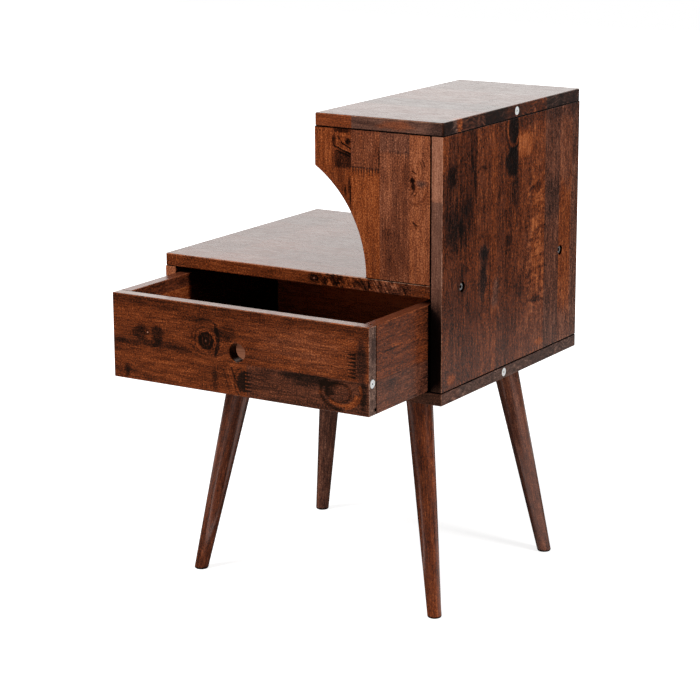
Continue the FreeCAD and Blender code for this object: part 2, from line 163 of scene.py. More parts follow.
def line_noise(tree, w, detail=2.0, roughness=0.6):
    """Smooth noise along a line."""
    inputs = {"W": w, "Scale": 1.0, "Detail": detail, "Roughness": roughness}
    node = add(tree, "TexNoise", inputs, noise_dimensions="1D")
    return Val(tree, node.outputs["Fac"])


def random_pair(tree, first, second):
    """Two random numbers that belong to a pair of numbers."""
    pair = joined(tree, first, second, 0.0)
    node = add(tree, "TexWhiteNoise", {"Vector": pair}, noise_dimensions="2D")
    parts = add(tree, "SeparateColor", {"Color": Val(tree, node.outputs["Color"])})
    return Val(tree, parts.outputs[0]), Val(tree, parts.outputs[1])


def linear(channel):
    """An sRGB channel, 0 to 255, as linear light."""
    share = channel / 255.0
    return share / 12.92 if share <= 0.04045 else ((share + 0.055) / 1.055) ** 2.4


def colour(red, green, blue):
    return (linear(red), linear(green), linear(blue), 1.0)


def ramp(tree, factor, stops, interpolation="LINEAR"):
    """A colour ramp. Each stop is (position, (r, g, b, 1))."""
    node = add(tree, "ValToRGB", {"Fac": factor})
    scale = node.color_ramp
    scale.interpolation = interpolation
    while len(scale.elements) > 1:
        scale.elements.remove(scale.elements[-1])
    scale.elements[0].position = stops[0][0]
    scale.elements[0].color = stops[0][1]
    for position, value in stops[1:]:
        scale.elements.new(position).color = value
    return Val(tree, node.outputs["Color"])


def mixed(tree, factor, first, second):
    """The first colour at factor 0, the second at 1."""
    node = add(tree, "Mix", {0: factor, 6: first, 7: second}, data_type="RGBA")
    return Val(tree, node.outputs[2])


def shader_mix(tree, factor, first, second):
    node = add(tree, "MixShader", {0: factor})
    tree.links.new(first.outputs[0], node.inputs[1])
    tree.links.new(second.outputs[0], node.inputs[2])
    return node


def shader_sum(tree, first, second):
    node = add(tree, "AddShader")
    tree.links.new(first.outputs[0], node.inputs[0])
    tree.links.new(second.outputs[0], node.inputs[1])
    return node


def empty_tree(owner):
    """The node tree of a material or world, with nothing in it."""
    owner.use_nodes = True
    owner.node_tree.nodes.clear()
    return owner.node_tree


def new_material(name):
    material = bpy.data.materials.new(name)
    return material, empty_tree(material)


def dress(node, material):
    """Gives a CAD node its material."""
    for holder in NODES[node].material_slots:
        holder.material = material


def finish_material(tree, base, roughness, height, depth, **others):
    """The surface itself: its colour, sheen and relief. depth is the relief's height in metres."""
    shader = add(tree, "BsdfPrincipled")
    feed(tree, shader.inputs["Base Color"], base)
    feed(tree, shader.inputs["Roughness"], roughness)
    for key, value in others.items():
        feed(tree, shader.inputs[key.replace("_", " ")], value)
    bump = add(tree, "Bump", {"Height": height, "Strength": 1.0, "Distance": depth})
    tree.links.new(bump.outputs[0], shader.inputs["Normal"])
    output = add(tree, "OutputMaterial")
    tree.links.new(shader.outputs[0], output.inputs[0])


def place(tree):
    """The point on the piece, in millimetres."""
    node = add(tree, "TexCoord")
    return vector_maths(tree, "MULTIPLY", Val(tree, node.outputs["Object"]), (PER_METRE,) * 3)


def facing(tree, direction):
    """How far the surface faces along a direction, either way."""
    normal = Val(tree, add(tree, "NewGeometry").outputs["Normal"])
    return absolute(vector_maths(tree, "DOT_PRODUCT", normal, direction, output=1))


def upwards(tree):
    """1 on a surface that faces straight up, -1 on one that faces down."""
    return split(Val(tree, add(tree, "NewGeometry").outputs["Normal"]))[2]


# ---------------------------------------------------------------- stained wood
WARM_STAIN = (
    (0.00, colour(10, 4, 3)), (0.16, colour(32, 13, 7)), (0.34, colour(62, 26, 12)),
    (0.52, colour(94, 42, 19)), (0.70, colour(124, 58, 27)), (0.86, colour(152, 77, 38)),
    (1.00, colour(186, 106, 60)),
)
GREY_STAIN = (
    (0.00, colour(15, 10, 10)), (0.16, colour(34, 23, 21)), (0.34, colour(58, 40, 35)),
    (0.52, colour(82, 58, 50)), (0.70, colour(106, 78, 67)), (0.86, colour(136, 104, 90)),
    (1.00, colour(170, 138, 122)),
)
SHEEN = (0.80, 0.40, 0.20, 1.0)  # the lacquer's reflections, warmed by the stain

# Finger joints, in millimetres: tooth to tooth, tooth length, and the dark line's half width
FINGER_PITCH = 3.9
FINGER_REACH = 9.0
FINGER_LINE = 2.0

# How much darker the stain is, as a share of the whole stain ramp. The first tone is painted shade, in
# creases and joints.
PAINTED_SHADE_TONE = 1.4
LINE_TONE = 0.42
PORE_TONE = 0.07
GLUE_TONE = 0.06

# A level top is seen under its reflection: its grain is calmer, and its stain nears one warmth.
TOP_CALM = 0.7
TOP_WARMTH = 0.75

# Millimetres
FACE_DEPTH = 0.4  # a narrow face lies this near the board's own limit
FACE_BLEND = 0.5
EASED_EDGE = 1.7
CUT_FADE = 0.3  # either side of a clean cut between two pieces

# Metres
BOARD_RELIEF = 0.0001
PLYWOOD_RELIEF = 0.0002
DOWEL_RELIEF = 0.0001
STEEL_RELIEF = 0.00006
PLASTIC_RELIEF = 0.00004
CREVICE_REACH = 0.004


def finger_wave(across):
    """The zigzag of a finger joint: how far it runs along the grain, in millimetres."""
    wave = maths(across.tree, "PINGPONG", across, FINGER_PITCH / 2)
    return wave * (FINGER_REACH * 2 / FINGER_PITCH) - FINGER_REACH / 2


class Wood:
    """The look of one piece of stained wood. u runs along the grain, v across it and w through it.
    Each strip is (where it starts across the grain, tone, warmth, its grain's own number)."""

    def __init__(self, tree, u, v, w, strips, seed):
        self.tree = tree
        self.u = u
        self.v = v
        self.w = w
        self.seed = seed
        point = (u, v, w)
        ragged = grain_noise(tree, point, 0.07, 0.17, 4.0, 0.65, seed + 0.5)
        drift = grain_noise(tree, point, 0.022, 0.05, 3.0, 0.5, seed + 1.5)
        self.streaks = grain_noise(tree, point, 0.03, 0.42, 3.0, 0.7, seed + 2.5)
        self.wander = (ragged - 0.5) + (drift - 0.5) * 1.3 + (self.streaks - 0.5) * 0.7
        self.fingers = finger_wave(v)
        first = strips[0][0]
        width = strips[-1][0] - first
        stops = []
        for start, tone, warmth, number in strips[:-1]:
            stops.append(((start - first) / width, (tone, warmth, number, 1.0)))
        found = ramp(tree, (v - first) / width, stops, "CONSTANT")
        parts = add(tree, "SeparateColor", {"Color": found})
        self.tone = Val(tree, parts.outputs[0])
        self.warmth = Val(tree, parts.outputs[1])
        self.number = Val(tree, parts.outputs[2]) * 50.0 + seed
        edges = [absolute(v - strip[0]) for strip in strips[1:-1]]
        self.glue = rise(smallest(*edges), 0.6, 0.1) if edges else None
        self.bend = None
        self.lines = None
        self.seam_shades = None
        self.shade = None
        self.quiet = None

    def rim(self):
        """1 on the edge strip at v 0, fading out just behind it."""
        return rise(self.v, 3.0, 1.0)

    def shift(self, mask, tone, warmth):
        """A lighter or darker tone, and a warmer or greyer stain, where the mask is 1."""
        self.tone = self.tone + mask * tone
        if warmth:
            self.warmth = self.warmth + mask * warmth

    def line(self, mask):
        """A thin dark line where the mask is 1."""
        self.lines = mask if self.lines is None else largest(self.lines, mask)

    def seam(self, axis, limit, side, depth=1.0):
        """Painted shade along a joint with another board: a dark line on the eased edge beyond the
        limit.
        """
        mask = rise(axis, limit - 0.15 * side, limit + 0.15 * side) * depth
        self.seam_shades = mask if self.seam_shades is None else largest(self.seam_shades, mask)

    def within(self, mask, clip):
        """Keeps a mask inside a box on the face: (u from, u to, v from, v to)."""
        if clip is None:
            return mask
        axes = (self.u, self.u, self.v, self.v)
        for axis, limit, side in zip(axes, clip, (1, -1, 1, -1)):
            if limit is not None:
                mask = mask * rise(axis, limit - CUT_FADE * side, limit + CUT_FADE * side)
        return mask

    def away(self, u, across, along_radius, across_radius, rim=False):
        """Distance from a point of the face, or of the edge strip at v 0, in radii."""
        first = (self.u - u) / along_radius
        second = ((self.w if rim else self.v) - across) / across_radius
        return maths(self.tree, "SQRT", first * first + second * second)

    def blot(self, u, v, along, across, tone, warmth=0.0, soft=0.5, rough=1.5, clip=None, rim=False):
        """A ragged patch of darker or lighter stain, drawn out along the grain."""
        distance = self.away(u, v, along, across, rim) + self.wander * rough
        mask = rise(distance, 1.0 + soft / 2, 1.0 - soft) * rise(self.streaks, 0.1, 0.45)
        if rim:
            mask = mask * self.rim()
        self.shift(self.within(mask, clip), tone, warmth)

    def arc(self, u, v, along, across, thick, tone, warmth=0.0, clip=None):
        """Part of an oval line, such as the grain where it turns round a knot."""
        distance = absolute(self.away(u, v, along, across) - 1.0 + self.wander * 0.16)
        share = thick / min(along, across)
        self.shift(self.within(rise(distance, share, share * 0.25), clip), tone, warmth)

    def stroke(self, u0, v0, u1, v1, thick, tone, warmth=0.0):
        """A short line of darker or lighter grain between two points."""
        length = math.hypot(u1 - u0, v1 - v0)
        along_u, along_v = (u1 - u0) / length, (v1 - v0) / length
        along = (self.u - u0) * along_u + (self.v - v0) * along_v
        across = (self.v - v0) * along_u - (self.u - u0) * along_v
        mask = rise(absolute(across + self.wander * 2.0), thick, thick * 0.3)
        mask = mask * rise(along, 0.0, thick) * rise(along, length, length - thick)
        self.shift(mask, tone, warmth)

    def comb(self, u, reach, v0, v1, pitch, tone, warmth=0.0):
        """The pointed ends of a finger joint's dark teeth, which start at u."""
        wave = maths(self.tree, "PINGPONG", self.v - v0, pitch / 2) / (pitch / 2)
        along = (self.u - u) / reach
        mask = rise(wave - along * 0.7 - 0.2, -0.12, 0.12)
        mask = mask * rise(along, -0.12, 0.0) * rise(along, 1.15, 1.0)
        self.shift(mask * band(self.v, v0, v1, CUT_FADE), tone, warmth)

    def patch(self, u0, u1, v0, v1, tone, warmth=0.0, fade_u=12.0, fade_v=1.0):
        """A stretch of a strip that took the stain otherwise; on the drawer's right side, a stretch of
        painted shade.
        """
        along = self.u + self.wander * fade_u
        across = self.v + self.wander * fade_v
        mask = band(along, u0, u1, fade_u / 2) * band(across, v0, v1, fade_v / 2)
        self.shift(mask, tone, warmth)

    def curl(self, u0, u1, v0, v1, pitch, tone, warmth=0.0, fade=8.0, lean=0.0, rim=False):
        """Curly figure: broken ripples that run across the grain."""
        across = self.w if rim else self.v
        box = band(self.u, u0, u1, fade / 2)
        box = box * (self.rim() if rim else band(self.v, v0, v1, 1.5))
        leaning = self.u + across * lean
        where = joined(self.tree, leaning * (1.0 / pitch), across * (0.35 / pitch), 0.0)
        ripple = noise(self.tree, where, 3.0, 0.65, self.seed + 7.0, 0.9)
        self.shift(box * (ripple - 0.5), tone, warmth)

    def knot(
        self, u, v, along, across, tone=-0.5, pale=0.0, halo=-0.12, rim=False, reach=3.4, heart=0.3
    ):
        """A knot with its rings, and the grain that flows round it."""
        near = self.away(u, v, along, across, rim) + self.wander * 0.3
        side = self.rim() if rim else 1.0
        if not rim:
            shove = (self.v - v) * rise(near, reach, 0.4) * -0.9
            self.bend = shove if self.bend is None else self.bend + shove
        rings = line_noise(self.tree, near * 6.0 + u, 2.0)
        core = rise(near, 1.12, 0.9) * side
        outline = rise(absolute(near - 0.98), 0.2, 0.04) * side
        self.shift(core * (rings * 1.2 + 0.2), tone, -0.1)
        self.shift(outline, tone * 0.5, 0.0)
        self.shift(rise(near, 2.4, 1.0) * side - core, halo, 0.0)
        if pale:
            self.shift(rise(near, heart, heart * 0.4) * side, pale, -0.6)

    def pieces(self, length, spread, warm_spread=0.1, line=0.55):
        """Every strip is a row of shorter pieces, glued end to end with finger joints."""
        row = (self.u - self.fingers) / length + self.number * 7.31
        index = maths(self.tree, "FLOOR", row)
        first, second = random_pair(self.tree, index, self.number)
        self.tone = self.tone + (first - 0.5) * spread
        self.warmth = self.warmth + (second - 0.5) * warm_spread
        self.number = self.number + index * 3.7
        part = absolute(maths(self.tree, "FRACT", row) - 0.5)
        half_line = FINGER_LINE / length
        self.line(rise(part, 0.5 - half_line, 0.5 - half_line * 0.35) * line)

    def face(self, mask, tone, warmth, quiet=0.0):
        """One narrow face of the board has a tone of its own, and a calmer grain."""
        if quiet:
            self.quiet = 1.0 - mask * quiet
        self.tone = self.tone + mask * (tone - self.tone)
        self.warmth = self.warmth + mask * (warmth - self.warmth)

    def growth_rings(self, point):
        """The figure that a board shows where it cuts through the rings of its tree. Every piece
        comes from a place of its own beside the tree's heart."""
        tree = self.tree
        _, v, w = point
        sway = grain_noise(tree, point, 0.011, 0.03, 2.0, 0.5, self.number)
        aside = maths(tree, "FRACT", self.number * 0.37) * 90.0 - 45.0
        ring_v = v + (sway - 0.5) * 18.0 + aside
        ring_w = w + 38.0 + maths(tree, "FRACT", self.number * 0.73) * 40.0 + (sway - 0.5) * 10.0
        radius = maths(tree, "SQRT", ring_v * ring_v + ring_w * ring_w)
        return line_noise(tree, radius * 0.38 + self.number, 3.0, 0.75)

    def sawn_end(self, v, w):
        """The bowed, coarse marks of end grain."""
        tree = self.tree
        bow = noise(tree, joined(tree, 0.0, v * 0.035, w * 0.02), 2.0, 0.5, self.seed + 61.0)
        curved = joined(tree, 0.0, v * 0.075, w * 0.36 + bow * 14.0)
        return noise(tree, curved, 4.0, 0.7, self.seed + 51.0)

    def close(
        self, along_axis, edges=None, ring=0.26, fibre=0.7, mottle=0.42, speckle=1.7,
        end_tone=-0.14, end_grit=2.2, worn_tone=0.3, sheen=0.27, gloss=0.22, top_gloss=0.0, tint=SHEEN,
    ):
        """Adds the grain and makes the surface. ring, fibre, mottle, speckle and end_grit are the
        contrast of each kind of figure, and sheen is the roughness."""
        tree = self.tree
        u, v, w = self.u, self.v, self.w
        if self.bend is not None:
            v = v + self.bend
        point = (u, v, w)
        rings = self.growth_rings(point)
        fine = grain_noise(tree, point, 0.05, 0.6, 3.0, 0.7, self.number)
        streak = grain_noise(tree, point, 0.01, 0.17, 4.0, 0.72, self.number + 3.0)
        blotch = grain_noise(tree, point, 0.035, 0.07, 4.0, 0.6, self.number + 9.0, 0.4)
        grit = grain_noise(tree, point, 0.42, 0.8, 1.5, 0.7, self.seed + 21.0)
        pores = rise(grain_noise(tree, point, 0.12, 2.2, 1.0, 0.5, self.seed + 31.0), 0.63, 0.74)
        end = rise(facing(tree, along_axis), 0.75, 0.95)

        top = rise(upwards(tree), 0.8, 0.97)
        calm = 1.0 - top * TOP_CALM
        if self.quiet is not None:
            calm = calm * self.quiet
        tone = (rings - 0.5) * ring + (fine - 0.5) * fibre + (streak - 0.5) * mottle * 1.5
        tone = tone + (blotch - 0.5) * mottle + (grit - 0.5) * speckle - pores * PORE_TONE
        tone = self.tone + tone * calm
        tone = tone + end * (self.sawn_end(v, w) - 0.5) * end_grit
        # painted shade: darker and without sheen in creases, along joints and where self.shade is below
        # 1
        unshaded = crevice_shade(tree)
        if self.seam_shades is not None:
            unshaded = unshaded * (1.0 - self.seam_shades)
        if self.shade is not None:
            unshaded = unshaded * self.shade
        tone = tone + end * end_tone - (1.0 - unshaded) * PAINTED_SHADE_TONE
        warmth = self.warmth + ((streak - 0.5) * 0.5 + (grit - 0.5) * 0.7) * calm - end * 0.3
        warmth = warmth + top * (TOP_WARMTH - warmth) * TOP_CALM
        height = fine * 0.4 + rings * 0.3 - pores * 0.6 + blotch * 0.6
        if self.glue is not None:
            tone = tone - self.glue * GLUE_TONE
            height = height - self.glue * 0.4
        if self.lines is not None:
            tone = tone - self.lines * LINE_TONE
            height = height - self.lines * 0.5
        if top_gloss:
            gloss = top * top_gloss + gloss
        # eased edges lighter and glossier: partly real wear, partly painted highlight
        if edges is not None:
            worn = grain_noise(tree, point, 0.09, 0.09, 3.0, 0.6, self.seed + 41.0)
            wear_and_highlight = edges * rise(worn, 0.3, 0.6) * unshaded
            tone = tone + wear_and_highlight * worn_tone
            gloss = wear_and_highlight * 0.3 + gloss
        tone = clamped(tone)
        stain = mixed(tree, clamped(warmth), ramp(tree, tone, GREY_STAIN), ramp(tree, tone, WARM_STAIN))
        rough = sheen + (blotch - 0.5) * 0.16 + (fine - 0.5) * 0.12 + end * 0.12 + pores * 0.1
        finish_material(
            tree, stain, clamped(rough), height, BOARD_RELIEF,
            Specular_IOR_Level=unshaded * gloss, Specular_Tint=tint,
        )


def openness(tree, reach):
    """The share of the directions from a point that are clear for so many metres."""
    node = add(tree, "AmbientOcclusion", {"Distance": reach}, samples=8)
    return Val(tree, node.outputs["AO"])


def crevice_shade(tree):
    """1 on an open surface, 0 down in a joint or crease: the mask of painted shade."""
    return rise(openness(tree, CREVICE_REACH), 0.74, 0.98)


def sheltered(tree, reach):
    """1 in the open, 0 on a surface that stands close beside a wall."""
    return rise(openness(tree, reach), 0.60, 0.88)


def in_bay(tree):
    """1 on the part of the drawer that stands inside its bay, 0 in front of the boards; it places
    painted shadow.
    """
    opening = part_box("shelf_panel")[0].y
    depth = split(Val(tree, add(tree, "NewGeometry").outputs["Position"]))[1]
    return rise(depth, opening - 0.001, opening + 0.010)


def box_edges(tree, point, low, high):
    """1 on the eased edges of a board, 0 on its faces."""
    distances = []
    for part, first, last in zip(split(point), low, high):
        distances.append(smallest(part - first * PER_METRE, last * PER_METRE - part))
    a, b, c = distances
    second = largest(smallest(a, b), smallest(largest(a, b), c))
    return rise(second, EASED_EDGE, EASED_EDGE * 0.2)


AXES = {"x": 0, "y": 1, "z": 2}


def unit(letter):
    """The unit vector of one of the frame's axes."""
    return tuple(float(name == letter) for name in AXES)


class Board(Wood):
    """The wood of one CAD board. layout names the frame's axes along, across and through the grain."""

    def __init__(self, node, layout, strips, seed):
        low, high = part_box(node)
        material, tree = new_material("stained_" + node)
        point = place(tree)
        parts = split(point)
        axes = [AXES[letter] for letter in layout]
        u, v, w = [parts[axis] - low[axis] * PER_METRE for axis in axes]
        super().__init__(tree, u, v, w, strips, seed)
        self.node = node
        self.material = material
        self.long, self.wide, self.thick = [(high - low)[axis] * PER_METRE for axis in axes]
        self.edges = box_edges(tree, point, low, high)
        self.direction = unit(layout[0])

    def front_face(self):
        """1 on the narrow face at v 0."""
        return rise(self.v, FACE_DEPTH + FACE_BLEND, FACE_DEPTH)

    def far_end(self):
        """1 on the end face where u is the board's length."""
        limit = self.long - FACE_DEPTH
        return rise(self.u, limit - FACE_BLEND, limit)

    def finish(self, **looks):
        """Adds the grain, and gives the board its material."""
        self.close(self.direction, self.edges, **looks)
        dress(self.node, self.material)


def random_strips(seed, width, tone, warmth, narrow=34.0, wide=62.0, spread=0.12):
    """Strips of random widths and tones, for a face that shows no particular ones."""
    draw = random.Random(seed)
    strips = []
    at = 0.0
    while at < width - narrow / 2:
        strip_tone = tone + draw.uniform(-spread, spread)
        strip_warmth = warmth + draw.uniform(-0.15, 0.15)
        strips.append((at, strip_tone, strip_warmth, draw.random()))
        at += draw.uniform(narrow, wide)
    strips.append((width, 0, 0, 0))
    return strips


# The right side panel: u up from its foot, v back from the front.
wood = Board("side_panel_right", "zyx", (
    (0, 0.44, 0.85, 0.11), (16, 0.40, 0.85, 0.83), (40, 0.42, 0.88, 0.23), (93, 0.50, 0.88, 0.91),
    (135, 0.52, 0.90, 0.47), (151, 0.42, 0.82, 0.67), (175, 0.46, 0.90, 0.37), (213, 0.52, 0.95, 0.59),
    (255, 0.54, 0.98, 0.07), (295, 0.42, 0.60, 0.71), (340, 0.54, 0.75, 0.31), (380, 0.44, 0.55, 0.97),
    (402, 0, 0, 0),
), 3.0)
wood.patch(300, 360, -5, 15, 0.2, 0.1, 20, 3)
wood.shift(rise(wood.v, 150, 300), 0.04, -0.14)
# painted reflection of the pale floor: the lowest part is lighter and greyer
wood.shift(rise(wood.u, 110, 30), 0.05, -0.12)
# a dark cloud in the front third, above the shelf
wood.blot(286, 25, 26, 14, -0.34)
wood.blot(246, 76, 44, 14, -0.26, 0.0, 0.9)
wood.blot(226, 34, 34, 30, -0.3, -0.1, 0.9)
wood.blot(206, 55, 20, 16, -0.16)
wood.blot(274, 89, 26, 6, -0.34, clip=(None, None, None, 93))
wood.blot(318, 84, 26, 12, -0.16)
wood.arc(284, 108, 9, 12, 3.0, -0.3, clip=(286, None, None, None))
# a grey smear under it
wood.blot(174, 118, 10, 14, -0.3, -0.6, 0.7)
wood.blot(138, 112, 36, 13, -0.28, -0.45, 0.7)
# two dark knots in the strip under the plug, with the lines round the upper one
wood.blot(287, 196, 20, 21, -0.5, -0.2, 0.3, 0.8, (None, None, 174, 213))
wood.blot(334, 198, 24, 14, -0.5, -0.2, 0.3, 0.7, (None, None, None, 213))
wood.arc(336, 198, 31, 22, 3.5, -0.3, 0.0, (300, None, 174, 213))
wood.arc(336, 198, 26, 17, 3.0, 0.22, 0.2, (300, None, 174, 213))
# lighter and darker pieces in the rear half, and curly figure
wood.patch(290, 324, 213, 255, 0.26, 0.2, 18)
wood.patch(60, 400, 255, 402, 0.05, 0.0, 60)
wood.patch(306, 326, 213, 243, 0.12, 0.1, 10)
wood.patch(333, 348, 213, 402, -0.16, -0.1, 12)
wood.curl(60, 270, 240, 295, 9, 1.5, 0.3, 40)
wood.patch(90, 250, 255, 295, 0.04, 0.1, 40)
wood.patch(40, 230, 340, 376, 0.04, 0.35, 40)
wood.patch(186, 246, 300, 340, -0.08, -0.2, 30)
# small dark and light spots
wood.blot(250, 204, 26, 9, -0.26, -0.1)
wood.blot(178, 188, 10, 12, -0.26)
wood.blot(244, 272, 10, 10, -0.22)
wood.blot(81, 268, 8, 12, -0.26)
wood.blot(104, 222, 18, 11, -0.26)
wood.blot(112, 150, 20, 10, 0.06, -0.5)
wood.blot(156, 60, 10, 12, -0.2)
wood.blot(90, 96, 10, 22, -0.14, 0.0, 0.9)
wood.blot(60, 178, 30, 14, -0.12, 0.0, 0.9)
wood.blot(14, 26, 8, 14, 0.24, 0.5)
wood.blot(14, 284, 6, 14, 0.2, 0.3)
# the front face gets painted shadow beside the drawer, and is paler above the shelf
wood.pieces(430, 0.05, 0.1, 0.0)
wood.face(wood.front_face(), 0.84, 0.5, 0.5)
wood.shade = 1.0 - wood.front_face() * (1.0 - sheltered(wood.tree, 0.15))
wood.shift(wood.front_face() * rise(wood.u, 261, 259), -0.14, -0.25)
wood.shift(wood.front_face() * rise(wood.u, 261, 263), 0.05, 0.0)
wood.seam(wood.w, 1.3, -1)
wood.seam(wood.u, 1.1, -1)
wood.seam(wood.u, wood.long - 1.0, 1, 0.7)
wood.finish(mottle=0.5, fibre=1.2, speckle=1.9)

# The curved upright: u up from the shelf, v from its left end.
strips = (
    (0, 0.66, 0.98, 0.11), (28, 0.62, 0.95, 0.21), (58, 0.74, 0.98, 0.41), (103, 0.72, 0.70, 0.61),
    (149, 0.78, 0.80, 0.81), (182, 0, 0, 0),
)
wood = Board("upright_front", "zxy", strips, 11.0)
# the knotty strip at the upper left: two knots, and streaks that lean away from them
wood.blot(199, 44, 3.5, 16, -0.4, rough=0.8)
wood.blot(185, 31, 9, 3.5, -0.4, rough=0.8)
wood.blot(184.5, 54, 5, 4.5, -0.6, rough=0.8)
wood.blot(193, 48, 2.4, 10, 0.12, 0.1, rough=0.6)
wood.blot(185, 43, 3.6, 5, 0.12, 0.1, rough=0.6)
wood.stroke(192, 36, 180, 46, 1.4, -0.4)
wood.stroke(183, 42, 174, 59, 1.6, -0.5)
wood.stroke(178, 30, 167, 59, 1.8, -0.5)
wood.stroke(176, 38, 170, 58, 1.0, 0.2)
wood.stroke(172, 34, 164, 58, 1.5, -0.4)
wood.patch(148, 170, 32, 58, -0.36, -0.1, 5, 1.5)
wood.patch(116, 152, 33, 58, -0.05, 0.0, 26, 3)
wood.blot(126, 55, 14, 2.5, -0.3, rough=0.8)
wood.blot(118, 49, 9, 1.6, -0.5, rough=0.5)
wood.blot(111, 57, 18, 1.2, -0.5, rough=0.5)
# darker pieces above two finger joints, with the ends of their teeth
wood.patch(150, 206, 58, 103, -0.12, -0.25, 1, 0.2)
wood.comb(151, -10, 59, 103, 4.4, -0.32, -0.3)
wood.comb(177, -9, 118, 149, 3.9, -0.16, -0.15)
wood.blot(162, 102, 18, 1.3, -0.5, rough=0.4)
wood.blot(174, 96, 16, 8, -0.06)
wood.patch(176, 206, 103, 149, -0.08, -0.2, 6, 0.4)
# soft clouds down the middle
wood.blot(150, 144, 20, 6, -0.2, rough=0.8)
wood.blot(98, 138, 40, 12, -0.12, 0.0, 0.8)
wood.blot(40, 128, 46, 22, -0.16, 0.0, 0.8)
wood.blot(66, 112, 10, 10, -0.14)
# the split knot near the right-hand edge, and the short lines above and below it
wood.blot(132, 155, 5.5, 3.4, -0.6, rough=0.4)
wood.blot(140, 154, 4, 4.4, -0.6, rough=0.4)
wood.blot(137, 168, 5, 10, -0.26, -0.5, 0.8, 1.4)
wood.stroke(153, 152, 149, 160, 1.2, -0.5)
wood.stroke(148, 151, 146, 162, 1.0, 0.14)
wood.stroke(144, 162, 134, 163, 1.4, 0.12)
wood.stroke(168, 164, 157, 169, 1.1, -0.4)
wood.stroke(169, 169, 158, 173, 1.0, -0.4)
wood.stroke(160, 159, 152, 163, 1.0, -0.3)
wood.stroke(129, 158, 120, 152, 1.2, -0.4)
wood.stroke(126, 162, 118, 156, 1.2, -0.3)
wood.arc(138, 158, 30, 19, 2.0, -0.16, 0.0, (None, 138, 150, None))
wood.stroke(84, 153, 79, 163, 1.6, -0.4)
wood.stroke(80, 156, 75, 162, 1.2, -0.3)
wood.blot(186, 164, 24, 14, 0.05)
wood.seam(wood.v, wood.wide - 1.2, 1)
wood.seam(wood.u, wood.long - 1.2, 1)
wood.seam(wood.u, 0.7, -1)
wood.finish(ring=0.24, fibre=0.7, speckle=1.8)

# The drawer front: u from its left end, v up from its lower edge.
wood = Board("drawer_front", "xzy", (
    (0, 0.51, 1.02, 0.13), (45, 0.52, 0.98, 0.63), (119.5, 0, 0, 0),
), 19.0)
wood.patch(222, 420, -5, 45, -0.13, -0.35, 3, 0.4)
wood.blot(322, 38, 44, 11, -0.26, -0.1, clip=(None, None, None, 45))
# two dark spots about a pale pin knot, with a shadowy streak under them
wood.blot(45, 68, 12, 13, -0.34, -0.1)
wood.blot(74, 66, 9, 13, -0.34, -0.1)
wood.blot(66, 54, 66, 6, -0.34, -0.1, 0.7)
wood.knot(59, 70, 3.0, 2.6, -0.2, 0.9, -0.04, heart=0.6)
# the round knot, and the lines that turn round it
wood.knot(156, 70, 12, 11, -0.52, 0.5, -0.03, heart=0.26)
wood.arc(157, 72, 19, 24, 4.4, -0.42, -0.1, (170, None, 48, 97))
wood.arc(155, 70, 27, 30, 2.4, -0.2, -0.1, (140, 176, 84, None))
wood.arc(156, 70, 19, 19, 1.6, -0.2, 0.0, (None, 156, None, None))
wood.arc(156, 70, 24, 24, 1.4, -0.14, 0.0, (None, 150, None, None))
wood.blot(187, 82, 16, 10, -0.26)
wood.blot(142, 98, 24, 6, -0.26)
# the dark end of a piece under the finger hole, with its teeth and the lines that lean against it
wood.blot(220, 21, 15, 15, -0.5, -0.3, 0.2, 0.3, (None, 219, None, None))
wood.comb(218, 12, 7, 36, 5.0, -0.5, -0.2)
wood.arc(221, 20, 20, 22, 1.8, -0.2, 0.0, (None, 214, None, None))
wood.stroke(196, 40, 213, 4, 1.8, -0.34)
wood.stroke(190, 40, 202, 6, 1.5, 0.14)
wood.stroke(184, 36, 194, 4, 1.6, -0.2)
wood.blot(206, 42, 14, 3, 0.16)
wood.blot(170, 18, 7, 16, -0.3)
wood.blot(24, 14, 7, 11, -0.32)
wood.blot(28, 8, 4, 8, 0.16)
# the swirl at the lower right
wood.blot(352, 26, 9, 7, -0.4, 0.2)
wood.arc(368, 27, 30, 22, 3.0, -0.26, 0.3, (None, 372, None, 44))
wood.arc(366, 27, 19, 13, 2.4, -0.22, 0.2)
wood.arc(370, 27, 24, 17, 3.0, 0.3, 0.7, (352, None, None, 27))
wood.arc(372, 30, 29, 23, 2.6, 0.26, 0.7, (376, None, None, 40))
wood.blot(352, 37, 18, 5, -0.34, 0.3, clip=(None, None, None, 45))
# the dark right-hand end, with a finger joint's teeth
wood.blot(401, 74, 9, 30, -0.3, -0.3, 0.4, 0.6)
wood.comb(392, -12, 48, 84, 5.0, -0.5, -0.1)
wood.blot(404, 22, 5, 18, -0.34)
wood.patch(-5, 420, 106, 122, -0.12, 0.0, 10, 8)
wood.shift(rise(wood.u, 210, 300), 0.04, -0.06)
wood.blot(310, 80, 90, 26, 0.1, -0.1, 0.9)
wood.blot(110, 22, 44, 14, 0.06, 0.1, 0.8)
# the end face: grey, streaked, with a dark upper half
wood.face(wood.far_end(), 0.66, 0.25)
grain = noise(wood.tree, joined(wood.tree, 0.0, wood.v * 0.03, wood.w * 0.5), 3.0, 0.6, 7.0) - 0.5
dark = rise(absolute(wood.v - 88.0) + grain * 24.0, 20.0, 12.0) * rise(wood.w + grain * 8.0, 4.0, 8.0)
wood.shift(wood.far_end() * (grain * 0.9 - dark * 0.3), 1.0, 0.0)
# painted shade on the wall of the finger hole
wood.shift(rise(wood.away(206.5, 59.5, 1.0, 1.0), 12.9, 12.55), -0.42, 0.0)
wood.seam(wood.w, wood.thick - 0.9, 1)
wood.finish(ring=0.36, fibre=0.9, speckle=1.9, end_tone=0.0, end_grit=1.2, top_gloss=0.5)

